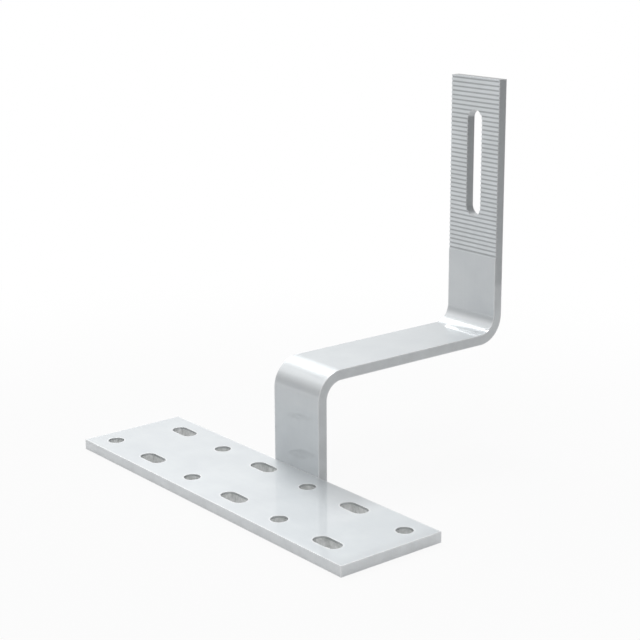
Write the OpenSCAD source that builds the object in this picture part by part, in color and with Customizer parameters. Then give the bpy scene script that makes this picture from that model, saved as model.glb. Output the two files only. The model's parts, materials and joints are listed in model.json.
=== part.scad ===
// Solar roof hook: a drilled base plate with a twice-bent flat bar welded to its rear edge.
// X runs along the plate, Y from the plate towards the upright, Z up. The origin is the
// middle of the plate's underside, which is the face that is screwed down.

/* [Base plate] */
// Length of the plate along X
plate_l = 180; // [120:10:300]
// Width of the plate along Y
plate_w = 50; // [40:1:80]
// Thickness of the plate
plate_t = 4.5; // [3:0.5:6]

/* [Fixing holes] */
// Diameter of the round screw holes
hole_d = 7; // [4:0.5:9]
// Width of the slotted screw holes
slot_w = 7; // [4:0.5:9]
// Length of a slotted screw hole from end to end
slot_l = 14; // [10:0.5:18]
// Distance between neighbours in a row, where round and slotted holes alternate
hole_pitch = 30; // [25:1:40]
// Distance from a plate end to the first hole of the row that starts there
end_margin = 10; // [8:0.5:20]
// Distance from a long edge to the nearer row
side_margin = 10; // [7:0.5:14]

/* [Hook arm] */
// Width of the flat bar along X
bar_w = 30; // [20:1:60]
// Thickness of the flat bar
bar_t = 4.5; // [3:0.5:6]
// Inside radius of both bends
bend_r = 8; // [4:0.5:12]
// Height of the space for the roof tile, from the plate's underside to the middle leg
tile_gap = 45; // [35:1:60]
// Distance between the front faces of the two upright legs
reach = 102; // [60:1:160]
// Overall height above the plate's underside
hook_h = 163.5; // [150:0.5:220]

/* [Serrations] */
// Distance from tooth to tooth
tooth_pitch = 2; // [1.5:0.25:4]
// Depth of the grooves below the bar's face
tooth_depth = 0.5; // [0.2:0.1:1]
// Height of the toothed zone, down from the top edge
tooth_zone = 80; // [40:2:90]

/* [Rail slot] */
// Width of the slot that takes the rail bolt
rail_slot_w = 9; // [7:0.5:14]
// Length of that slot from end to end
rail_slot_l = 48; // [20:1:70]
// Material left above that slot
rail_slot_top = 14.5; // [8:0.5:18]

/* [Weld] */
// Leg of the fillets beside the foot of the arm
weld_leg = 3; // [2:0.5:4]
// Distance that those fillets stop short of the plate's top face
weld_short = 1.5; // [1:0.25:2.5]
// Bevel on the foot of the arm, filled by the underside seam and ground flush
weld_bevel = 2.5; // [1:0.25:2.75]

/* [Hidden] */
$fn = 64;

// How far a cutting body runs past each face that it breaks through
over = 1;

// The fixing rows. Each starts with a round hole at its own end of the plate.
row_y = plate_w / 2 - side_margin;
row_start = plate_l / 2 - end_margin;
row_count = 1 + floor(2 * row_start / hole_pitch);

// Faces of the arm, along Y and Z
foot_y = plate_w / 2;
upright_y = foot_y + reach;
middle_z = tile_gap + bar_t;
bend_outer_r = bend_r + bar_t;

// Teeth in the zone, down from the top edge
tooth_count = floor(tooth_zone / tooth_pitch);

// The fillet's height above the plate's underside
weld_h = plate_t - weld_short;

// A slotted cut through a wall from z = 0 to z = depth, with its length along X
module slot_cut(length, width, depth) {
    centres = length - width;
    translate([0, 0, -over])
        linear_extrude(depth + 2 * over) {
            square([centres, width], center = true);
            translate([-centres / 2, 0]) circle(d = width);
            translate([centres / 2, 0]) circle(d = width);
        }
}

// One row of alternating round and slotted holes, from the plate's left end
module fixing_row() {
    for (i = [0 : row_count - 1])
        translate([i * hole_pitch - row_start, -row_y, 0])
            if (i % 2 == 0)
                translate([0, 0, -over]) cylinder(d = hole_d, h = plate_t + 2 * over);
            else
                slot_cut(slot_l, slot_w, plate_t);
}

// Flat plate with two staggered rows: the rear row is the front one turned half round
module base_plate() {
    color("gainsboro")
        difference() {
            translate([-plate_l / 2, -plate_w / 2, 0]) cube([plate_l, plate_w, plate_t]);
            fixing_row();
            rotate([0, 0, 180]) fixing_row();
        }
}

// A quarter of the bar's bend about the origin, in the quadrant with these signs
module bend_section(sign_y, sign_z) {
    intersection() {
        difference() {
            circle(r = bend_outer_r);
            circle(r = bend_r);
        }
        translate([min(0, sign_y * bend_outer_r), min(0, sign_z * bend_outer_r)])
            square(bend_outer_r);
    }
}

// Side view of the upright leg's straight part, from the bend to the top edge. Each tooth
// has its crest in the plane of the bar's face, and a groove of tooth_depth below it.
module upright_section() {
    back_y = upright_y + bar_t;
    bottom_z = middle_z + bend_r;
    teeth = [
        for (i = [0 : tooth_count - 1])
            each [
                [upright_y, hook_h - i * tooth_pitch],
                [upright_y + tooth_depth, hook_h - (i + 0.5) * tooth_pitch],
            ]
    ];
    polygon(concat(
        [[upright_y, bottom_z], [back_y, bottom_z], [back_y, hook_h]],
        teeth,
        [[upright_y, hook_h - tooth_count * tooth_pitch]]
    ));
}

// Side view of the lower leg, with the weld bevel on its foot
module foot_section() {
    polygon([
        [foot_y + weld_bevel, 0],
        [foot_y + bar_t, 0],
        [foot_y + bar_t, middle_z - bend_outer_r],
        [foot_y, middle_z - bend_outer_r],
        [foot_y, weld_bevel],
    ]);
}

// Side view of the whole bar, in the plane of Y and Z
module arm_section() {
    middle_start = foot_y + bend_outer_r;
    middle_end = upright_y - bend_r;
    foot_section();
    translate([middle_start, middle_z - bend_outer_r]) bend_section(-1, 1);
    translate([middle_start, tile_gap]) square([middle_end - middle_start, bar_t]);
    translate([middle_end, middle_z + bend_r]) bend_section(1, -1);
    upright_section();
}

// Flat bar bent up, back and up again, toothed and slotted at its top for the rail bolt
module hook_arm() {
    slot_z = hook_h - rail_slot_top - rail_slot_l / 2;
    color("silver")
        difference() {
            rotate([90, 0, 90]) linear_extrude(bar_w, center = true) arm_section();
            translate([0, upright_y + bar_t, slot_z])
                rotate([90, 90, 0])
                    slot_cut(rail_slot_l, rail_slot_w, bar_t);
        }
}

// Fillet between the plate's rear edge and one side of the foot, on the +X side
module side_fillet() {
    translate([bar_w / 2, foot_y, 0])
        intersection() {
            cylinder(r = weld_leg, h = weld_h);
            cube([weld_leg, weld_leg, weld_h]);
        }
}

// Weld metal under the foot and up both of its sides
module foot_weld() {
    color("darkgray") {
        rotate([90, 0, 90])
            linear_extrude(bar_w, center = true)
                polygon([[foot_y, 0], [foot_y + weld_bevel, 0], [foot_y, weld_bevel]]);
        side_fillet();
        mirror([1, 0, 0]) side_fillet();
    }
}

base_plate();
hook_arm();
foot_weld();
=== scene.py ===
"""Solar roof hook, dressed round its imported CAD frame.

The real object is a punched steel plate with a twice-bent flat bar welded to its rear edge. Each of
the three CAD nodes is replaced by a piece modelled in the same place, with the edge rounds, cut
walls, milled teeth and weld ripples that the solids leave out. X runs along the plate, Y from the
plate towards the toothed leg, and Z up, in metres.
"""

import json
import logging
import math
from dataclasses import dataclass
from enum import Enum, IntEnum
from typing import Any, Callable, Iterable, Optional

import bmesh
import bpy
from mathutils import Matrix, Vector


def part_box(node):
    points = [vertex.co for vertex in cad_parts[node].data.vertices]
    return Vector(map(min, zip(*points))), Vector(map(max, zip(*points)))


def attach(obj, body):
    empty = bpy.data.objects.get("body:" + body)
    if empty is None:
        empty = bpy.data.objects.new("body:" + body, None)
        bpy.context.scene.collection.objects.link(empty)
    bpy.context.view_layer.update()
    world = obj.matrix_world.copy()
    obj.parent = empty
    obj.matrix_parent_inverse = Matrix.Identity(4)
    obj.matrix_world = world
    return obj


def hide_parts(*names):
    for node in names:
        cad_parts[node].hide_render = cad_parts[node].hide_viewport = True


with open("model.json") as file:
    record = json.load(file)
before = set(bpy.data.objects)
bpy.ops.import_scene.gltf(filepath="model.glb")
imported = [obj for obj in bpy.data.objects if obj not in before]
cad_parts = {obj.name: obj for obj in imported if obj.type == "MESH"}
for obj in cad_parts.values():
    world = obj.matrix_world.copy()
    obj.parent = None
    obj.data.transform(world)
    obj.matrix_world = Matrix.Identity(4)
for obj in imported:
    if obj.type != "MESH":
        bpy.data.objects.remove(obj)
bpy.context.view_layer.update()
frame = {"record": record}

log = logging.getLogger("roof_hook")

Tree = bpy.types.NodeTree
Socket = bpy.types.NodeSocket
Point = tuple[float, float, float]

BODY = "root"
MM = 0.001
TOUCH = 1e-6
QUARTER = math.radians(90)

# The part of a face's normal along an axis: at least FACING where the face looks along it, at least
# SQUARE where it is square to it, at least FLANK on a tooth, and below WALL where it runs along it
FACING = 0.9
SQUARE = 0.99
FLANK = 0.5
WALL = 0.1

# The part of a noise's values that patterns use, and the weight of the lines beside the clouds
NOISE_LOW = 0.3
NOISE_HIGH = 0.7
NOISE_ROUGHNESS = 0.55
LINE_WEIGHT = 0.2

# Rubbed edges, painted paler, partly as wear and partly as a painted highlight: the cosine between
# a face's normal and its rounded one where the pale rim starts and where it is full, the most that
# it covers, and how much smoother it is
WEAR_STARTS = 0.995
WEAR_FULL = 0.93
WEAR_MOST = 0.8
WEAR_POLISH = 0.04


def srgb(code: str) -> tuple[float, float, float, float]:
    """Turns a colour as it is written for the screen into the linear one that shaders take.

    Args:
        code: The colour as "#RRGGBB".

    Returns:
        Linear red, green, blue and an alpha of 1.
    """
    parts = [int(code[i : i + 2], 16) / 255 for i in (1, 3, 5)]
    linear = [c / 12.92 if c <= 0.04045 else ((c + 0.055) / 1.055) ** 2.4 for c in parts]
    return (linear[0], linear[1], linear[2], 1.0)


def add_node(
    tree: Tree, kind: str, inputs: Optional[dict[Any, Any]] = None, **settings: Any
) -> bpy.types.Node:
    """Adds one node with its settings, and fills its input sockets.

    Args:
        tree: The node tree that it goes into.
        kind: The node's type without its first part, such as "TexNoise".
        inputs: What each input socket gets, by its name or number. A plain value is set, and the
            output socket of another node is linked.
        settings: Properties of the node, by name.

    Returns:
        The new node.
    """
    node = tree.nodes.new("ShaderNode" + kind)
    for name, setting in settings.items():
        setattr(node, name, setting)
    for socket, given in (inputs or {}).items():
        if isinstance(given, Socket):
            tree.links.new(given, node.inputs[socket])
        else:
            node.inputs[socket].default_value = given
    return node


def blank_material(name: str) -> bpy.types.Material:
    """Adds a material whose node tree is empty.

    Args:
        name: The material's name.

    Returns:
        The new material.
    """
    made = bpy.data.materials.new(name)
    made.use_nodes = True
    made.node_tree.nodes.clear()
    return made


class Run(Enum):
    """The direction that a surface was worked in, as the stretch of a pattern along each axis."""

    ALONG_PLATE = (1.0, 0.0, 0.0)
    ALONG_BAR = (0.0, 1.0, 1.0)
    THROUGH_PLATE = (0.0, 0.0, 1.0)
    THROUGH_BAR = (0.0, 1.0, 0.0)
    ACROSS_BAR = (1.0, 0.0, 0.0)
    NONE = (0.0, 0.0, 0.0)


class PlateSide(IntEnum):
    """The kinds of surface on the plate, in the order of its finishes."""

    ROLLED = 0
    SHEARED = 1
    PUNCHED = 2


class BarSide(IntEnum):
    """The kinds of surface on the bar, in the order of its finishes."""

    ROLLED = 0
    SLIT = 1
    SLOT_WALL = 2
    TEETH = 3


@dataclass(frozen=True)
class SteelFinish:
    """One worked surface of stainless steel.

    The steel is a full metal with a cool silver colour. Its making leaves fine lines along one
    direction, a fine grain from tumbling, faint cloudy patches of gloss, and pale edges, partly
    rubbed bright and partly a painted highlight.
    Tumbling blunts only the high spots of the mill finish. The smooth flats between them lay a
    faint sharp mirror image over the soft one, and that is drawn as a clear gloss over the metal.
    """

    name: str
    colour: str
    dull_colour: str
    run: Run
    line_mm: float
    line_length_mm: float
    line_depth_mm: float
    # The colour of the rounded edges: partly rubbed wear, partly a painted highlight
    worn_colour: str = "#FAFBFC"
    roughness: float = 0.62
    line_gloss: float = 0.02
    grain_mm: float = 0.4
    grain_depth_mm: float = 0.001
    cloud_gloss: float = 0.03
    cloud_mm: float = 14.0
    wear_mm: float = 0.9
    metallic: float = 1.0
    gloss_over: float = 1.0
    gloss_roughness: float = 0.05
    gloss_ior: float = 1.9

    def material(self) -> bpy.types.Material:
        """Builds the material of this finish.

        Returns:
            A new procedural material on Object coordinates.
        """
        made = blank_material(self.name)
        tree = made.node_tree
        place = add_node(tree, "TexCoord").outputs["Object"]
        lines = self._lines(tree, place)
        clouds = self._noise(tree, place, (self.cloud_mm,) * 3, detail=3.0)
        wear = self._wear(tree)
        normal = self._relief(tree, place, lines)
        steel = add_node(
            tree,
            "Mix",
            {
                "Factor": self._spread(tree, clouds, lines, 0.0, 1.0),
                "A": srgb(self.colour),
                "B": srgb(self.dull_colour),
            },
            data_type="RGBA",
        )
        # Pale rims on the rounded edges: partly rubbed wear, partly a painted highlight
        colour = add_node(
            tree,
            "Mix",
            {
                "Factor": wear,
                "A": self.bare_colour(tree, place, steel.outputs["Result"]),
                "B": srgb(self.worn_colour),
            },
            data_type="RGBA",
        )
        swing = self.cloud_gloss + self.line_gloss
        gloss = self._spread(tree, clouds, lines, self.roughness - swing, self.roughness + swing)
        rubbed = add_node(
            tree,
            "Math",
            {0: wear, 1: -WEAR_POLISH, 2: self.bare_roughness(tree, gloss)},
            operation="MULTIPLY_ADD",
        )
        shader = add_node(
            tree,
            "BsdfPrincipled",
            {
                "Metallic": self.metallic,
                "Coat Weight": self.gloss_over,
                "Coat Roughness": self.gloss_roughness,
                "Coat IOR": self.gloss_ior,
                "Base Color": colour.outputs["Result"],
                "Roughness": rubbed.outputs["Value"],
                "Normal": normal,
            },
        )
        add_node(tree, "OutputMaterial", {"Surface": shader.outputs["BSDF"]})
        return made

    def bare_colour(self, tree: Tree, place: Socket, steel: Socket) -> Socket:
        """Gives the colour away from the worn edges, which is that of the steel itself."""
        return steel

    def bare_roughness(self, tree: Tree, gloss: Socket) -> Socket:
        """Gives the roughness away from the worn edges, which is that of the worked surface."""
        return gloss

    def _noise(self, tree: Tree, place: Socket, size_mm: Iterable[float], detail: float) -> Socket:
        """Adds a noise whose patches have a real size along each axis.

        Args:
            tree: The material's node tree.
            place: The Object coordinates.
            size_mm: Size of a patch along X, Y and Z in millimetres.
            detail: Octaves of finer noise.

        Returns:
            The noise, from 0 to 1.
        """
        scaled = add_node(
            tree, "Mapping", {"Scale": tuple(1 / (MM * size) for size in size_mm), "Vector": place}
        )
        noise = add_node(
            tree,
            "TexNoise",
            {
                "Scale": 1.0,
                "Detail": detail,
                "Roughness": NOISE_ROUGHNESS,
                "Vector": scaled.outputs["Vector"],
            },
        )
        return noise.outputs["Fac"]

    def _lines(self, tree: Tree, place: Socket) -> Socket:
        """Adds the fine lines that the making leaves, stretched along its direction."""
        sizes = [self.line_length_mm if along else self.line_mm for along in self.run.value]
        return self._noise(tree, place, sizes, detail=2.0)

    def _spread(self, tree: Tree, clouds: Socket, lines: Socket, low: float, high: float) -> Socket:
        """Adds clouds and lines into one value between two levels.

        Args:
            tree: The material's node tree.
            clouds: The cloudy patches.
            lines: The worked lines.
            low: The level where both are lowest.
            high: The level where both are highest.

        Returns:
            The value socket.
        """
        share = add_node(
            tree, "Mix", {"Factor": LINE_WEIGHT, "A": clouds, "B": lines}, data_type="FLOAT"
        )
        level = add_node(
            tree,
            "MapRange",
            {
                "From Min": NOISE_LOW,
                "From Max": NOISE_HIGH,
                "To Min": low,
                "To Max": high,
                "Value": share.outputs["Result"],
            },
        )
        return level.outputs["Result"]

    def _wear(self, tree: Tree) -> Socket:
        """Adds a mask of the rounded edges, which are painted paler: partly where handling rubs the
        steel bright, and partly as a painted highlight.

        Args:
            tree: The material's node tree.

        Returns:
            The mask: 0 on the faces and WEAR_MOST on the edges.
        """
        true_normal = add_node(tree, "NewGeometry").outputs["Normal"]
        rounded = add_node(
            tree, "Bevel", {"Radius": self.wear_mm * MM}, samples=4
        ).outputs["Normal"]
        same = add_node(tree, "VectorMath", {0: true_normal, 1: rounded}, operation="DOT_PRODUCT")
        mask = add_node(
            tree,
            "MapRange",
            {
                "From Min": WEAR_STARTS,
                "From Max": WEAR_FULL,
                "To Max": WEAR_MOST,
                "Value": same.outputs["Value"],
            },
        )
        return mask.outputs["Result"]

    def _relief(self, tree: Tree, place: Socket, lines: Socket) -> Socket:
        """Adds the grain and the lines as relief.

        Args:
            tree: The material's node tree.
            place: The Object coordinates.
            lines: The worked lines.

        Returns:
            The bumped normal.
        """
        grain = self._noise(tree, place, (self.grain_mm,) * 3, detail=2.0)
        dimpled = add_node(tree, "Bump", {"Distance": self.grain_depth_mm * MM, "Height": grain})
        lined = add_node(
            tree,
            "Bump",
            {
                "Distance": self.line_depth_mm * MM,
                "Height": lines,
                "Normal": dimpled.outputs["Normal"],
            },
        )
        return lined.outputs["Normal"]


@dataclass(frozen=True)
class ToothFinish(SteelFinish):
    """Steel that was cut into teeth, with a painted shade in the roots between them."""

    root_colour: str = "#989C9F"
    face_y_mm: float = 127.0
    root_depth_mm: float = 0.5
    shade_from: float = 0.35
    shade_most: float = 0.8

    def bare_colour(self, tree: Tree, place: Socket, steel: Socket) -> Socket:
        """Paints shade into the steel towards the roots, by how deep a place lies behind the bar's
        face.

        Args:
            tree: The material's node tree.
            place: The Object coordinates.
            steel: The colour of the steel's faces.

        Returns:
            The colour socket.
        """
        axes = add_node(tree, "SeparateXYZ", {"Vector": place})
        # Painted shade in the roots of the teeth, deepest at the bottom of each groove
        shade = add_node(
            tree,
            "MapRange",
            {
                "From Min": (self.face_y_mm + self.shade_from * self.root_depth_mm) * MM,
                "From Max": (self.face_y_mm + self.root_depth_mm) * MM,
                "To Max": self.shade_most,
                "Value": axes.outputs["Y"],
            },
            interpolation_type="SMOOTHSTEP",
        )
        rooted = add_node(
            tree,
            "Mix",
            {"Factor": shade.outputs["Result"], "A": steel, "B": srgb(self.root_colour)},
            data_type="RGBA",
        )
        return rooted.outputs["Result"]


@dataclass(frozen=True)
class BentFinish(SteelFinish):
    """Rolled steel that was bent: the bending tool burnishes it most in the middle of a bend."""

    bend_roughness: float = 0.43
    slant_from: float = -0.12
    slant_full: float = -0.45

    def bare_roughness(self, tree: Tree, gloss: Socket) -> Socket:
        """Lowers the roughness on the bends, where the surface faces neither along Y nor up.

        Args:
            tree: The material's node tree.
            gloss: The roughness of the flat faces.

        Returns:
            The roughness socket.
        """
        facing = add_node(tree, "TexCoord").outputs["Normal"]
        axes = add_node(tree, "SeparateXYZ", {"Vector": facing})
        slant = add_node(
            tree, "Math", {0: axes.outputs["Y"], 1: axes.outputs["Z"]}, operation="MULTIPLY"
        )
        bend = add_node(
            tree,
            "MapRange",
            {
                "From Min": self.slant_from,
                "From Max": self.slant_full,
                "Value": slant.outputs["Value"],
            },
            interpolation_type="SMOOTHSTEP",
        )
        burnished = add_node(
            tree,
            "Mix",
            {"Factor": bend.outputs["Result"], "A": gloss, "B": self.bend_roughness},
            data_type="FLOAT",
        )
        return burnished.outputs["Result"]


@dataclass(frozen=True)
class PunchedFinish(SteelFinish):
    """The wall of a punched hole: a narrow smooth land at the top, with a painted shadow under the
    rim, and torn metal below it.
    """

    # The torn metal's pale grey: partly its own colour, partly painted light
    torn_colour: str = "#F8F9F9"
    torn_dull_colour: str = "#DFE1E0"
    torn_roughness: float = 0.7
    land_from_mm: float = 3.6
    ragged_mm: float = 0.4
    ragged_size_mm: float = 1.2
    line_softness: float = 0.2
    blotch_mm: Point = (1.6, 1.6, 2.4)
    blotch_low: float = 0.35
    blotch_high: float = 0.65

    def _torn(self, tree: Tree) -> Socket:
        """Adds a mask of where the metal tore, below a ragged line round the hole.

        Args:
            tree: The material's node tree.

        Returns:
            The mask: 0 on the smooth land and 1 on the torn metal.
        """
        place = add_node(tree, "TexCoord").outputs["Object"]
        axes = add_node(tree, "SeparateXYZ", {"Vector": place})
        ragged = self._noise(tree, place, (self.ragged_size_mm,) * 3, detail=3.0)
        line = add_node(
            tree,
            "Math",
            {0: ragged, 1: 2 * self.ragged_mm * MM, 2: axes.outputs["Z"]},
            operation="MULTIPLY_ADD",
        )
        mask = add_node(
            tree,
            "MapRange",
            {
                "From Min": (self.land_from_mm + (1 + self.line_softness) * self.ragged_mm) * MM,
                "From Max": (self.land_from_mm + (1 - self.line_softness) * self.ragged_mm) * MM,
                "Value": line.outputs["Value"],
            },
            interpolation_type="SMOOTHSTEP",
        )
        return mask.outputs["Result"]

    def bare_colour(self, tree: Tree, place: Socket, steel: Socket) -> Socket:
        """Gives the torn metal its paler, blotched grey, partly its own colour and partly painted
        light.

        Args:
            tree: The material's node tree.
            place: The Object coordinates.
            steel: The colour of the smooth land, darkened as a painted shadow under the rim.

        Returns:
            The colour socket.
        """
        blotches = self._noise(tree, place, self.blotch_mm, detail=2.0)
        contrast = add_node(
            tree,
            "MapRange",
            {"From Min": self.blotch_low, "From Max": self.blotch_high, "Value": blotches},
        )
        grey = add_node(
            tree,
            "Mix",
            {
                "Factor": contrast.outputs["Result"],
                "A": srgb(self.torn_colour),
                "B": srgb(self.torn_dull_colour),
            },
            data_type="RGBA",
        )
        torn = add_node(
            tree,
            "Mix",
            {"Factor": self._torn(tree), "A": steel, "B": grey.outputs["Result"]},
            data_type="RGBA",
        )
        return torn.outputs["Result"]

    def bare_roughness(self, tree: Tree, gloss: Socket) -> Socket:
        """Makes the torn metal rougher than the land.

        Args:
            tree: The material's node tree.
            gloss: The roughness of the land.

        Returns:
            The roughness socket.
        """
        rough = add_node(
            tree,
            "Mix",
            {"Factor": self._torn(tree), "A": gloss, "B": self.torn_roughness},
            data_type="FLOAT",
        )
        return rough.outputs["Result"]


# Cold-rolled stainless, tumbled satin after punching: soft cloudy reflections and the faintest
# lines. The real lines are near 0.1 mm, too fine for the render, so they are drawn 0.6 mm wide.
ROLLED: dict[str, Any] = dict(
    colour="#E2E6E8",
    dull_colour="#DDE1E4",
    cloud_gloss=0.02,
    line_mm=0.6,
    line_gloss=0.01,
    line_depth_mm=0.0006,
    grain_mm=0.5,
    grain_depth_mm=0.0008,
)

# Faces of the plate, with their lines along it.
PLATE_FACE = SteelFinish(
    name="cold_rolled_stainless_tumbled",
    run=Run.ALONG_PLATE,
    line_length_mm=40.0,
    # A wide pale rim round the plate's edges and holes: partly wear, partly a painted highlight
    wear_mm=1.5,
    **ROLLED,
)

# Sheared edges of the plate: fine scores through the thickness scatter the light, so that the edges
# look pale and even. The real scores are near 0.1 mm and are drawn 0.35 mm wide, so that they show.
PLATE_CUT = SteelFinish(
    name="sheared_stainless_edge",
    colour="#EEF1F3",
    dull_colour="#E4E7E9",
    run=Run.THROUGH_PLATE,
    line_mm=0.35,
    line_length_mm=6.0,
    line_depth_mm=0.003,
    cloud_mm=7.0,
)

# Punched walls of the screw holes: the punch leaves a narrow smooth land below the top rim, whose
# dark colour is a painted shadow under the rim, and under it the metal is torn, rougher and
# blotched, and paler, partly in its own colour and partly by painted light. The scores of the punch
# are drawn
# 0.35 mm wide, so that they show.
PLATE_PUNCHED = PunchedFinish(
    name="punched_stainless_hole_wall",
    # The land's dark grey is a painted shadow under the rim
    colour="#C6C9CB",
    dull_colour="#BABDBF",
    roughness=0.4,
    run=Run.THROUGH_PLATE,
    line_mm=0.35,
    line_length_mm=6.0,
    line_gloss=0.03,
    line_depth_mm=0.004,
    grain_mm=0.3,
    grain_depth_mm=0.004,
    cloud_mm=4.0,
)

# Faces of the flat bar: the same satin, with its lines along the bar, and a clearer shine where the
# bending tool pressed it, so that each bend carries a white band.
BAR_FACE = BentFinish(
    name="cold_rolled_stainless_bar", run=Run.ALONG_BAR, line_length_mm=50.0, **ROLLED
)

# Slit edges of the bar, dressed along its length: a more even, slightly duller grey. The lines are
# near 0.1 mm and are drawn 0.3 mm wide, so that they show.
BAR_EDGE = SteelFinish(
    name="slit_stainless_bar_edge",
    colour="#DCE0E2",
    dull_colour="#D3D6D8",
    run=Run.ALONG_BAR,
    line_mm=0.3,
    line_length_mm=30.0,
    line_depth_mm=0.002,
    cloud_mm=9.0,
)

# Punched wall of the rail slot: scores through the bar's thickness make it the dullest grey of the
# bar. They are drawn 0.35 mm wide, so that they show.
BAR_SLOT = SteelFinish(
    name="punched_stainless_slot_wall",
    colour="#D2D5D7",
    dull_colour="#C5C9CB",
    worn_colour="#F0F1F2",
    run=Run.THROUGH_BAR,
    line_mm=0.35,
    line_length_mm=6.0,
    line_depth_mm=0.003,
    cloud_mm=7.0,
)

# Milled teeth: the cutter ran across the bar, so each flank is bright, with fine lines along X. The
# roots carry a painted shade, and the crests a narrow pale rim that is partly wear and partly a
# painted highlight. The lines are drawn 0.25 mm wide, so that they show.
BAR_TEETH = ToothFinish(
    name="milled_stainless_teeth",
    colour="#EFF3F6",
    dull_colour="#E7EBED",
    roughness=0.6,
    cloud_gloss=0.02,
    run=Run.ACROSS_BAR,
    line_mm=0.25,
    line_length_mm=14.0,
    line_depth_mm=0.001,
    grain_depth_mm=0.0008,
    # A narrow pale rim on the crests: partly wear, partly a painted highlight
    wear_mm=0.15,
)

# Weld metal, wire-brushed and pickled: a warmer, darker grey than the rolled steel, with coarse
# grain where the puddle froze.
WELD_METAL = SteelFinish(
    name="pickled_stainless_weld",
    colour="#D3D5D4",
    dull_colour="#B9B8B3",
    worn_colour="#E6E7E6",
    roughness=0.42,
    cloud_gloss=0.06,
    run=Run.NONE,
    line_mm=0.7,
    line_length_mm=1.0,
    line_gloss=0.03,
    line_depth_mm=0.03,
    grain_mm=0.35,
    grain_depth_mm=0.01,
    cloud_mm=3.0,
    wear_mm=0.3,
)


class Workpiece:
    """One mesh object that is shaped with operators, as by hand."""

    def __init__(self, name: str) -> None:
        """Takes over the object that was just added, names it and applies its place."""
        self.obj = bpy.context.object
        self.obj.name = name
        bpy.ops.object.transform_apply(location=True, rotation=True, scale=True)

    @classmethod
    def block(cls, name: str, low: Vector, high: Vector) -> "Workpiece":
        """Adds a block between two corners.

        Args:
            name: The object's name.
            low: Its lowest corner in metres.
            high: Its highest corner in metres.

        Returns:
            The new workpiece.
        """
        release()
        bpy.ops.mesh.primitive_cube_add(size=1, location=(low + high) / 2, scale=high - low)
        return cls(name)

    @classmethod
    def rod(
        cls,
        name: str,
        radius: float,
        length: float,
        middle: Vector,
        turn: Point = (0.0, 0.0, 0.0),
        sides: int = 64,
    ) -> "Workpiece":
        """Adds a rod.

        Args:
            name: The object's name.
            radius: Its radius in metres.
            length: Its length in metres.
            middle: The middle of its axis.
            turn: How far it is turned from upright, in radians about X, Y and Z.
            sides: The number of its sides.

        Returns:
            The new workpiece.
        """
        release()
        bpy.ops.mesh.primitive_cylinder_add(
            vertices=sides, radius=radius, depth=length, location=middle, rotation=turn
        )
        return cls(name)

    def _take(self) -> None:
        """Makes this the only selected object."""
        release()
        self.obj.select_set(True)
        bpy.context.view_layer.objects.active = self.obj

    def _edit(self, mode: str) -> bmesh.types.BMesh:
        """Opens the mesh in edit mode with nothing selected.

        Args:
            mode: What is selected next, as "VERT", "EDGE" or "FACE".

        Returns:
            The mesh in edit mode.
        """
        if bpy.context.mode != "EDIT_MESH":
            self._take()
            bpy.ops.object.mode_set(mode="EDIT")
        bpy.ops.mesh.select_mode(type=mode)
        bpy.ops.mesh.select_all(action="DESELECT")
        return bmesh.from_edit_mesh(self.obj.data)

    def _pick(self, mode: str, test: Callable[[Any], bool]) -> None:
        """Selects what a test wants, and nothing else.

        Args:
            mode: What is selected, as "VERT", "EDGE" or "FACE".
            test: Says whether one vertex, edge or face is wanted.
        """
        mesh = self._edit(mode)
        for part in {"VERT": mesh.verts, "EDGE": mesh.edges, "FACE": mesh.faces}[mode]:
            part.select_set(test(part))
        bmesh.update_edit_mesh(self.obj.data)

    def pick_faces(self, test: Callable[[Vector, Vector], bool]) -> None:
        """Selects faces by their middle and normal."""
        self._pick("FACE", lambda face: test(face.calc_center_median(), face.normal))

    def pick_edges(self, test: Callable[[Vector, Vector], bool]) -> None:
        """Selects edges by their two ends."""
        self._pick("EDGE", lambda edge: test(edge.verts[0].co, edge.verts[1].co))

    def pick_points(self, test: Callable[[Vector], bool]) -> None:
        """Selects vertices by their place."""
        self._pick("VERT", lambda vert: test(vert.co))

    def pull(self, step: Point, times: int = 1) -> None:
        """Extrudes the selected face by a step in metres, once or more times."""
        for _ in range(times):
            bpy.ops.mesh.extrude_region_move(TRANSFORM_OT_translate={"value": step})

    def shift(self, step: Point) -> None:
        """Moves what is selected."""
        bpy.ops.transform.translate(value=step)

    def close(self) -> None:
        """Removes inner faces, merges doubles, turns the faces outwards and leaves edit mode."""
        self._edit("FACE")
        bpy.ops.mesh.select_interior_faces()
        bpy.ops.mesh.delete(type="ONLY_FACE")
        bpy.ops.mesh.select_all(action="SELECT")
        bpy.ops.mesh.remove_doubles(threshold=TOUCH)
        bpy.ops.mesh.normals_make_consistent(inside=False)
        bpy.ops.object.mode_set(mode="OBJECT")

    def cut(self, cutters: Iterable["Workpiece"]) -> None:
        """Cuts other workpieces out of this one, and throws them away.

        Args:
            cutters: The shapes to take out.
        """
        for cutter in cutters:
            self._take()
            hole = self.obj.modifiers.new("cut", "BOOLEAN")
            hole.operation = "DIFFERENCE"
            hole.solver = "EXACT"
            hole.object = cutter.obj
            bpy.ops.object.modifier_apply(modifier=hole.name)
            bpy.data.objects.remove(cutter.obj)

    def round_edges(self, radius: float, angle: float, segments: int) -> None:
        """Rounds the edges that are sharper than an angle, and shades the piece smooth.

        Args:
            radius: The width of the round in metres.
            angle: The least angle between two faces, in degrees, that is rounded.
            segments: The number of facets in each round.
        """
        self._take()
        rounds = self.obj.modifiers.new("rounds", "BEVEL")
        rounds.width = radius
        rounds.segments = segments
        rounds.limit_method = "ANGLE"
        rounds.angle_limit = math.radians(angle)
        bpy.ops.object.modifier_apply(modifier=rounds.name)
        bpy.ops.object.shade_smooth()
        weighted = self.obj.modifiers.new("flat_faces", "WEIGHTED_NORMAL")
        weighted.mode = "FACE_AREA"
        weighted.weight = 100
        weighted.keep_sharp = True
        bpy.ops.object.modifier_apply(modifier=weighted.name)

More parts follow.
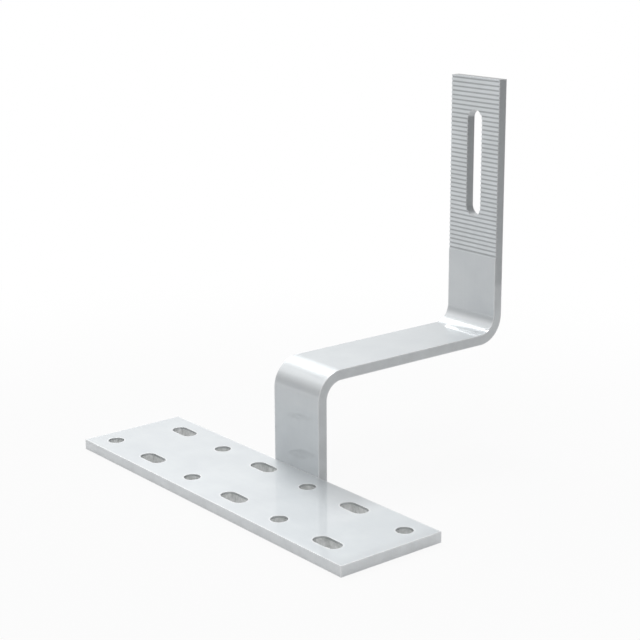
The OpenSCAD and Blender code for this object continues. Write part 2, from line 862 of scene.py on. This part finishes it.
    def dress(self, finishes: list[SteelFinish], choose: Callable[[Vector, Vector], int]) -> None:
        """Gives each face its finish.

        Args:
            finishes: The finishes of this piece.
            choose: Says from a face's middle and normal which finish it gets.
        """
        for finish in finishes:
            self.obj.data.materials.append(finish.material())
        for face in self.obj.data.polygons:
            face.material_index = int(choose(face.center, face.normal))

    def hand_over(self, node: str, slot: str) -> bpy.types.Object:
        """Puts the piece in the frame in place of its CAD node.

        Args:
            node: The CAD node that it stands for.
            slot: The record's material slot; not used.

        Returns:
            The finished object.
        """
        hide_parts(node)
        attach(self.obj, BODY)
        log.info("%s: %d faces for node %s", self.obj.name, len(self.obj.data.polygons), node)
        return self.obj


def release() -> None:
    """Leaves edit mode and deselects everything."""
    if bpy.context.mode != "OBJECT":
        bpy.ops.object.mode_set(mode="OBJECT")
    bpy.ops.object.select_all(action="DESELECT")


def slot_cutter(dims: dict[str, float], depth: float, middle: Vector, upright: bool) -> Workpiece:
    """Makes the punch of a slot: a rod whose two halves are pulled apart.

    Args:
        dims: The sizes of the slot's mount.
        depth: How deep the punch is.
        middle: The middle of the slot.
        upright: True where the slot runs up and is cut along Y, False where it runs along X and
            is cut downwards.

    Returns:
        The cutter.
    """
    turn = (QUARTER, 0.0, 0.0) if upright else (0.0, 0.0, 0.0)
    radius = dims["hole_r_mm"] * MM
    punch = Workpiece.rod("punch", radius, depth, middle, turn)
    axis = 2 if upright else 0
    reach = dims["slot_length_mm"] * MM / 2 - radius
    for side in (-1, 1):
        punch.pick_points(lambda co: (co[axis] - middle[axis]) * side > TOUCH)
        step = [0.0, 0.0, 0.0]
        step[axis] = side * reach
        punch.shift((step[0], step[1], step[2]))
    punch.close()
    return punch


@dataclass
class BasePlate:
    """The flat plate with its two staggered rows of round and slotted screw holes."""

    node: str = "base_plate"
    slot: str = "plate_steel"
    half_length: float = 90.0 * MM
    half_width: float = 25.0 * MM
    edge_round: float = 0.4 * MM
    round_angle: float = 40.0
    round_steps: int = 3
    over: float = 1.0 * MM

    def punches(self) -> list[Workpiece]:
        """Makes one punch for each screw hole that the record's mounts name.

        Returns:
            The punches, round ones first.
        """
        low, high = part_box(self.node)
        depth = high.z - low.z + 2 * self.over
        middle_z = (low.z + high.z) / 2
        found: dict[tuple[int, int], Workpiece] = {}
        for mount in frame["record"]["mounts"]:
            x, y, _ = mount["pos_m"]
            dims = mount["dims"]
            if mount["name"].startswith("screw_hole"):
                found[(round(x / MM), round(y / MM))] = Workpiece.rod(
                    "punch", dims["r_mm"] * MM, depth, Vector((x, y, middle_z))
                )
            if mount["name"].startswith("screw_slots"):
                for side in (-0.5, 0.5):
                    at = x + side * dims["spacing_x_mm"] * MM
                    key = (round(at / MM), round(y / MM))
                    if key not in found:
                        middle = Vector((at, y, middle_z))
                        found[key] = slot_cutter(dims, depth, middle, upright=False)
        return list(found.values())

    def side_of(self, middle: Vector, normal: Vector) -> PlateSide:
        """Says what kind of surface a face of the plate belongs to.

        Args:
            middle: The face's middle.
            normal: The face's normal.

        Returns:
            The kind of surface.
        """
        if abs(normal.z) > FACING:
            return PlateSide.ROLLED
        at_end = abs(middle.x) > self.half_length - TOUCH
        at_side = abs(middle.y) > self.half_width - TOUCH
        return PlateSide.SHEARED if at_end or at_side else PlateSide.PUNCHED

    def build(self) -> bpy.types.Object:
        """Models, cuts, dresses and places the plate.

        Returns:
            The finished piece.
        """
        low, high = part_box(self.node)
        plate = Workpiece.block("base_plate_visual", low, high)
        plate.cut(self.punches())
        plate.dress([PLATE_FACE, PLATE_CUT, PLATE_PUNCHED], self.side_of)
        plate.round_edges(self.edge_round, self.round_angle, self.round_steps)
        return plate.hand_over(self.node, self.slot)


@dataclass
class HookArm:
    """The flat bar, bent back and up again, with forty teeth and one upright slot."""

    node: str = "hook_arm"
    slot: str = "bar_steel"
    half_width: float = 15.0 * MM
    top: float = 163.5 * MM
    thickness: float = 4.5 * MM
    bend_inside: float = 8.0 * MM
    bend_steps: int = 20
    middle_top: float = 49.5 * MM
    upright_front: float = 127.0 * MM
    teeth_from: float = 83.5 * MM
    half_pitch: float = 1.0 * MM
    tooth_depth: float = 0.5 * MM
    crest_round: float = 0.3 * MM
    crest_steps: int = 3
    root_round: float = 0.06 * MM
    root_steps: int = 2
    tooth_count: int = 40
    punch_length: float = 18.0 * MM
    foot_bevel: float = 2.5 * MM
    edge_round: float = 0.3 * MM
    round_angle: float = 60.0
    round_steps: int = 3

    def bent_bar(self) -> Workpiece:
        """Bends the bar: a block for the lower leg, spun and pulled along the bar's path.

        Returns:
            The plain bar up to the start of the teeth.
        """
        low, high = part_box(self.node)
        outside = self.bend_inside + self.thickness
        lower_z = self.middle_top - outside
        upper_z = self.middle_top + self.bend_inside
        start_y = low.y + outside
        end_y = self.upright_front - self.bend_inside
        bar = Workpiece.block(
            "hook_arm_visual", low, Vector((high.x, low.y + self.thickness, lower_z))
        )
        bar.pick_faces(lambda middle, normal: normal.z > FACING)
        bpy.ops.mesh.spin(
            steps=self.bend_steps, angle=QUARTER, center=(0, start_y, lower_z), axis=(1, 0, 0)
        )
        bar.pull((0, end_y - start_y, 0))
        bpy.ops.mesh.spin(
            steps=self.bend_steps, angle=-QUARTER, center=(0, end_y, upper_z), axis=(1, 0, 0)
        )
        bar.pull((0, 0, self.teeth_from - upper_z))
        return bar

    def cut_teeth(self, bar: Workpiece) -> None:
        """Pulls the bar up by half a tooth at a time and sinks every other front edge.

        Args:
            bar: The bar with its upper end selected.
        """
        bar.pull((0, 0, self.half_pitch), times=2 * self.tooth_count)
        bar.close()
        bar.pick_points(lambda co: self._level(co) % 2 == 1)
        bar.shift((0, self.tooth_depth, 0))
        for odd, radius, steps in (
            (0, self.crest_round, self.crest_steps), (1, self.root_round, self.root_steps)
        ):
            bar.pick_edges(lambda a, b: all(self._is_tooth_edge(co, odd) for co in (a, b)))
            bpy.ops.mesh.bevel(offset=radius, segments=steps, affect="EDGES")

    def _level(self, co: Vector) -> int:
        """Counts the half teeth from the toothed zone's lower end to a vertex.

        Args:
            co: The vertex's place.

        Returns:
            The number of half teeth, or 0 off the zone's front face.
        """
        if co.y > self.upright_front + TOUCH or co.z < self.teeth_from - TOUCH:
            return 0
        return round((co.z - self.teeth_from) / self.half_pitch)

    def _is_tooth_edge(self, co: Vector, odd: int) -> bool:
        """Says whether a vertex is part of a tooth, between the zone's two ends.

        Args:
            co: The vertex's place.
            odd: 0 to look for crests and 1 to look for roots.

        Returns:
            True on such a crest or in such a root.
        """
        inside = self.teeth_from + TOUCH < co.z < self.top - TOUCH
        face_y = self.upright_front + odd * self.tooth_depth
        return inside and abs(co.y - face_y) < TOUCH

    def _is_end(self, co: Vector) -> bool:
        """Says whether a place lies in the plane of the bar's top end or of its foot."""
        return co.z > self.top - TOUCH or co.z < TOUCH

    def rail_punch(self) -> Workpiece:
        """Makes the punch of the rail slot from the record's mount.

        Returns:
            The cutter.
        """
        mount = next(m for m in frame["record"]["mounts"] if m["name"] == "rail_slot")
        x, _, z = mount["pos_m"]
        middle = Vector((x, self.upright_front + self.thickness / 2, z))
        return slot_cutter(mount["dims"], self.punch_length, middle, upright=True)

    def side_of(self, middle: Vector, normal: Vector) -> BarSide:
        """Says what kind of surface a face of the bar belongs to.

        Args:
            middle: The face's middle.
            normal: The face's normal.

        Returns:
            The kind of surface. Both ends of the bar were slit as its edges were.
        """
        at_end = abs(normal.z) > SQUARE and self._is_end(middle)
        if abs(middle.x) > self.half_width - TOUCH or at_end:
            return BarSide.SLIT
        in_zone = middle.z > self.teeth_from
        on_front = middle.y < self.upright_front + self.tooth_depth + TOUCH
        if in_zone and on_front and normal.y < -FLANK:
            return BarSide.TEETH
        if in_zone and abs(normal.y) < WALL:
            return BarSide.SLOT_WALL
        return BarSide.ROLLED

    def build(self) -> bpy.types.Object:
        """Models, cuts, dresses and places the arm.

        Returns:
            The finished piece.
        """
        low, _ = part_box(self.node)
        bar = self.bent_bar()
        self.cut_teeth(bar)
        bar.pick_edges(
            lambda a, b: all(co.y < low.y + TOUCH and co.z < low.z + TOUCH for co in (a, b))
        )
        bpy.ops.mesh.bevel(offset=self.foot_bevel, segments=1, affect="EDGES")
        bar.close()
        bar.cut([self.rail_punch()])
        bar.dress([BAR_FACE, BAR_EDGE, BAR_SLOT, BAR_TEETH], self.side_of)
        bar.round_edges(self.edge_round, self.round_angle, self.round_steps)
        return bar.hand_over(self.node, self.slot)


@dataclass
class FootWeld:
    """The weld at the foot of the arm: a seam ground flush underneath and a bead on each side."""

    node: str = "foot_weld"
    slot: str = "weld_steel"
    bar_half: float = 15.0 * MM
    seam_leg: float = 2.5 * MM
    bead_radius: float = 3.0 * MM
    bead_height: float = 3.0 * MM
    bead_sides: int = 48
    ripples: int = 5
    ripple_depth: float = 0.22 * MM
    crown_depth: float = 0.88 * MM
    edge_round: float = 0.1 * MM
    round_angle: float = 50.0
    round_steps: int = 2

    def seam(self) -> Workpiece:
        """Makes the underside seam: a square bar halved along its diagonal.

        Returns:
            The seam.
        """
        low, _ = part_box(self.node)
        seam = Workpiece.block(
            "foot_weld_visual",
            Vector((-self.bar_half, low.y, low.z)),
            Vector((self.bar_half, low.y + self.seam_leg, low.z + self.seam_leg)),
        )
        seam.pick_faces(lambda middle, normal: True)
        bpy.ops.mesh.bisect(
            plane_co=(0, low.y + self.seam_leg, low.z),
            plane_no=(0, 1, 1),
            use_fill=True,
            clear_outer=True,
        )
        seam.close()
        return seam

    def bead(self, side: int) -> Workpiece:
        """Makes the bead on one side of the foot: a quarter rod with ripples up its height.

        Args:
            side: 1 for the +X side of the bar, -1 for the other.

        Returns:
            The bead.
        """
        low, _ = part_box(self.node)
        corner = Vector((side * self.bar_half, low.y, low.z))
        first = self.bead_height / (2 * self.ripples)
        middle = corner + Vector((0, 0, first / 2))
        bead = Workpiece.rod("bead", self.bead_radius, first, middle, sides=self.bead_sides)
        for plane_no in ((side, 0, 0), (0, 1, 0)):
            bead.pick_faces(lambda middle, normal: True)
            bpy.ops.mesh.bisect(plane_co=corner, plane_no=plane_no, use_fill=True, clear_inner=True)
        bead.pick_faces(lambda middle, normal: normal.z > FACING)
        bead.pull((0, 0, first), times=2 * self.ripples - 1)
        bead.close()
        for level in range(2 * self.ripples + 1):
            height = low.z + level * first
            depth = self.ripple_depth if level % 2 else 0.0
            if level == 2 * self.ripples:
                depth = self.crown_depth
            size = 1 - depth / self.bead_radius
            bead.pick_points(lambda co: abs(co.z - height) < TOUCH)
            bpy.ops.transform.resize(value=(size, size, 1), center_override=corner)
        bead.close()
        return bead

    def build(self) -> bpy.types.Object:
        """Models, joins, dresses and places the weld.

        Returns:
            The finished piece.
        """
        seam = self.seam()
        beads = [self.bead(1), self.bead(-1)]
        release()
        for part in (*beads, seam):
            part.obj.select_set(True)
        bpy.context.view_layer.objects.active = seam.obj
        bpy.ops.object.join()
        seam.dress([WELD_METAL], lambda middle, normal: 0)
        seam.round_edges(self.edge_round, self.round_angle, self.round_steps)
        return seam.hand_over(self.node, self.slot)


@dataclass(frozen=True)
class SoftBox:
    """One rectangular lamp with a diffuser."""

    name: str
    place: Point
    aim: Point
    width: float
    height: float
    power: float

    def build(self) -> bpy.types.Object:
        """Adds the lamp, turned towards its aim.

        Returns:
            The lamp.
        """
        lamp = bpy.data.lights.new(self.name, "AREA")
        lamp.shape = "RECTANGLE"
        lamp.size = self.width
        lamp.size_y = self.height
        lamp.energy = self.power
        obj = bpy.data.objects.new(self.name, lamp)
        bpy.context.scene.collection.objects.link(obj)
        obj.location = self.place
        way = Vector(self.aim) - Vector(self.place)
        obj.rotation_euler = way.to_track_quat("-Z", "Y").to_euler()
        obj.visible_camera = False
        log.info("%s: %.1f x %.1f m", self.name, self.width, self.height)
        return obj


@dataclass(frozen=True)
class StudioPaper:
    """The matt white paper of the floor: white round the object, with its soft shadow on it, and a
    painted shade close round the object in reflections.
    """

    name: str = "matt_white_paper"
    colour: str = "#D6D6D6"
    fibre_mm: float = 10 / 9
    fibre_depth_mm: float = 0.1
    fibre_relief: float = 0.2
    seen_near: float = 0.9
    # Shares of white that reflections see: the smaller near share is a painted shade round the
    # object
    mirrored_near: float = 0.15
    mirrored_far: float = 0.25
    near: float = 0.12
    far: float = 0.4

    def material(self) -> bpy.types.Material:
        """Builds the paper's material.

        Returns:
            A material that keeps the object's shadow and is lifted towards white.
        """
        made = blank_material(self.name)
        tree = made.node_tree
        place = add_node(tree, "TexCoord").outputs["Object"]
        fibre = add_node(
            tree, "TexNoise", {"Scale": 1 / (self.fibre_mm * MM), "Detail": 3.0, "Vector": place}
        )
        relief = add_node(
            tree,
            "Bump",
            {
                "Strength": self.fibre_relief,
                "Distance": self.fibre_depth_mm * MM,
                "Height": fibre.outputs["Fac"],
            },
        )
        paper = add_node(
            tree, "BsdfDiffuse", {"Color": srgb(self.colour), "Normal": relief.outputs["Normal"]}
        )
        white = add_node(tree, "Emission")
        away = add_node(tree, "VectorMath", {0: place}, operation="LENGTH").outputs["Value"]
        seen = self._fade(tree, away, self.seen_near, 1.0)
        # Painted shade round the object for reflections: less white near it than far away
        mirrored = self._fade(tree, away, self.mirrored_near, self.mirrored_far)
        both = add_node(
            tree,
            "MixShader",
            {0: white_share(tree, mirrored, seen), 1: paper.outputs[0], 2: white.outputs[0]},
        )
        add_node(tree, "OutputMaterial", {"Surface": both.outputs[0]})
        return made

    def _fade(self, tree: Tree, away: Socket, near: float, far: float) -> Socket:
        """Adds a share that changes smoothly with the distance from the object.

        Args:
            tree: The material's node tree.
            away: The distance from the plate's middle.
            near: The share up to the near distance.
            far: The share from the far distance on.

        Returns:
            The share as a socket.
        """
        share = add_node(
            tree,
            "MapRange",
            {
                "From Min": self.near,
                "From Max": self.far,
                "To Min": near,
                "To Max": far,
                "Value": away,
            },
            interpolation_type="SMOOTHSTEP",
        )
        return share.outputs["Result"]


def white_share(tree: Tree, mirrored: Socket, seen: Optional[Socket] = None) -> Socket:
    """Adds the share of plain white that a ray finds in the background.

    Args:
        tree: The node tree.
        mirrored: The share for glossy and transmission rays.
        seen: The share for the camera's rays, which is 1 where it is left out.

    Returns:
        The share as a socket.
    """
    path = add_node(tree, "LightPath")
    mirror = add_node(
        tree,
        "Math",
        {0: path.outputs["Is Glossy Ray"], 1: path.outputs["Is Transmission Ray"]},
        operation="MAXIMUM",
    )
    scaled = add_node(tree, "Math", {0: mirror.outputs[0], 1: mirrored}, operation="MULTIPLY")
    share = add_node(
        tree,
        "Math",
        {0: path.outputs["Is Camera Ray"], 1: seen or 1.0, 2: scaled.outputs[0]},
        operation="MULTIPLY_ADD",
    )
    return share.outputs[0]


@dataclass
class Studio:
    """The pale floor, the white background, the lamps and the camera."""

    floor_half: float = 6.0
    floor_drop: float = 0.05 * MM
    horizon_level: float = 0.32
    sky_level: float = 0.77
    sky_from: float = 0.1
    sky_to: float = 0.5
    backdrop_level: float = 0.08
    backdrop_way: Point = (-0.82, 0.57, 0.0)
    backdrop_from: float = 0.35
    backdrop_full: float = 0.75
    card_place: Point = (0.30, 0.27, 0.25)
    card_size: float = 1.0
    card_colour: str = "#868686"
    lamp_aim: Point = (0.0, 0.05, 0.05)
    camera_place: Point = (0.491758, -0.357412, 0.237620)
    camera_turn: float = 49.962
    camera_dip: float = 14.328
    camera_lens: float = 87.170
    camera_shift: tuple[float, float] = (-0.04984, -0.03164)

    def floor(self) -> None:
        """Lays the pale paper floor under the plate."""
        release()
        bpy.ops.mesh.primitive_plane_add(
            size=2 * self.floor_half, location=(0, 0, -self.floor_drop)
        )
        sheet = Workpiece("studio_floor")
        sheet.obj.data.materials.append(StudioPaper().material())
        log.info("studio_floor: %.0f m wide", 2 * self.floor_half)

    def grey_card(self) -> None:
        """Stands a grey card at the right and back, which the bar's edges mirror."""
        release()
        bpy.ops.mesh.primitive_plane_add(
            size=self.card_size,
            location=self.card_place,
            rotation=(QUARTER, 0, math.radians(self.camera_turn) + QUARTER),
        )
        card = Workpiece("studio_grey_card")
        made = blank_material("matt_grey_card")
        tree = made.node_tree
        grey = add_node(tree, "Emission", {"Color": srgb(self.card_colour)})
        add_node(tree, "OutputMaterial", {"Surface": grey.outputs[0]})
        card.obj.data.materials.append(made)
        card.obj.visible_camera = False
        card.obj.visible_shadow = False
        card.obj.visible_diffuse = False
        log.info("studio_grey_card: at the right and back")

    def world(self) -> None:
        """Surrounds the scene with soft light, paler above than low down, and shows it as white."""
        world = bpy.data.worlds.new("pale_studio")
        bpy.context.scene.world = world
        world.use_nodes = True
        tree = world.node_tree
        tree.nodes.clear()
        way = add_node(tree, "TexCoord").outputs["Generated"]
        up = add_node(tree, "SeparateXYZ", {"Vector": way}).outputs["Z"]
        level = add_node(
            tree,
            "MapRange",
            {
                "From Min": self.sky_from,
                "From Max": self.sky_to,
                "To Min": self.horizon_level,
                "To Max": self.sky_level,
                "Value": up,
            },
            interpolation_type="SMOOTHSTEP",
        )
        room = add_node(
            tree, "Background", {"Color": srgb("#FFFFFF"), "Strength": level.outputs["Result"]}
        )
        white = add_node(tree, "Background", {"Color": srgb("#FFFFFF")})
        both = add_node(
            tree,
            "MixShader",
            {0: white_share(tree, self._backdrop(tree)), 1: room.outputs[0], 2: white.outputs[0]},
        )
        add_node(tree, "OutputWorld", {"Surface": both.outputs[0]})
        log.info("pale_studio: level %.2f above, %.2f low", self.sky_level, self.horizon_level)

    def _backdrop(self, tree: Tree) -> Socket:
        """Adds the share of the white backdrop, which stands behind the object.

        Args:
            tree: The world's node tree.

        Returns:
            The share for each direction.
        """
        way = add_node(tree, "TexCoord").outputs["Generated"]
        behind = add_node(
            tree, "VectorMath", {0: way, 1: self.backdrop_way}, operation="DOT_PRODUCT"
        )
        share = add_node(
            tree,
            "MapRange",
            {
                "From Min": self.backdrop_from,
                "From Max": self.backdrop_full,
                "To Max": self.backdrop_level,
                "Value": behind.outputs["Value"],
            },
            interpolation_type="SMOOTHSTEP",
        )
        return share.outputs["Result"]

    def lamps(self) -> None:
        """Hangs a wide box overhead, the key high at the left and a weak box at the front left."""
        aim = self.lamp_aim
        for box in (
            SoftBox("top_box", (0.1, 0.35, 2.0), aim, width=2.0, height=2.0, power=8.0),
            SoftBox("key_high", (-1.3, 0.5, 1.7), aim, width=1.0, height=0.5, power=9.4),
            SoftBox("front_left", (-1.75, -0.47, 0.85), aim, width=1.0, height=1.0, power=1.35),
        ):
            box.build()

    def camera(self) -> None:
        """Sets the camera where the photograph was taken from."""
        data = bpy.data.cameras.new("photo_camera")
        data.sensor_width = 36.0
        data.lens = self.camera_lens
        data.shift_x, data.shift_y = self.camera_shift
        data.clip_start = 0.01
        data.clip_end = 50.0
        camera = bpy.data.objects.new("photo_camera", data)
        bpy.context.scene.collection.objects.link(camera)
        camera.location = self.camera_place
        camera.rotation_euler = (
            math.radians(90 - self.camera_dip), 0.0, math.radians(self.camera_turn)
        )
        bpy.context.scene.camera = camera
        log.info("photo_camera: lens %.1f mm", self.camera_lens)

    def build(self) -> None:
        """Sets up the whole studio."""
        self.floor()
        self.grey_card()
        self.world()
        self.lamps()
        self.camera()
        bpy.context.scene.view_settings.view_transform = "Standard"


def main() -> None:
    """Builds the studio and each piece of the hook in order."""
    logging.basicConfig(level=logging.INFO, format="%(name)s %(message)s")
    Studio().build()
    for piece in (BasePlate(), HookArm(), FootWeld()):
        piece.build()


if __name__ == "__main__":
    main()
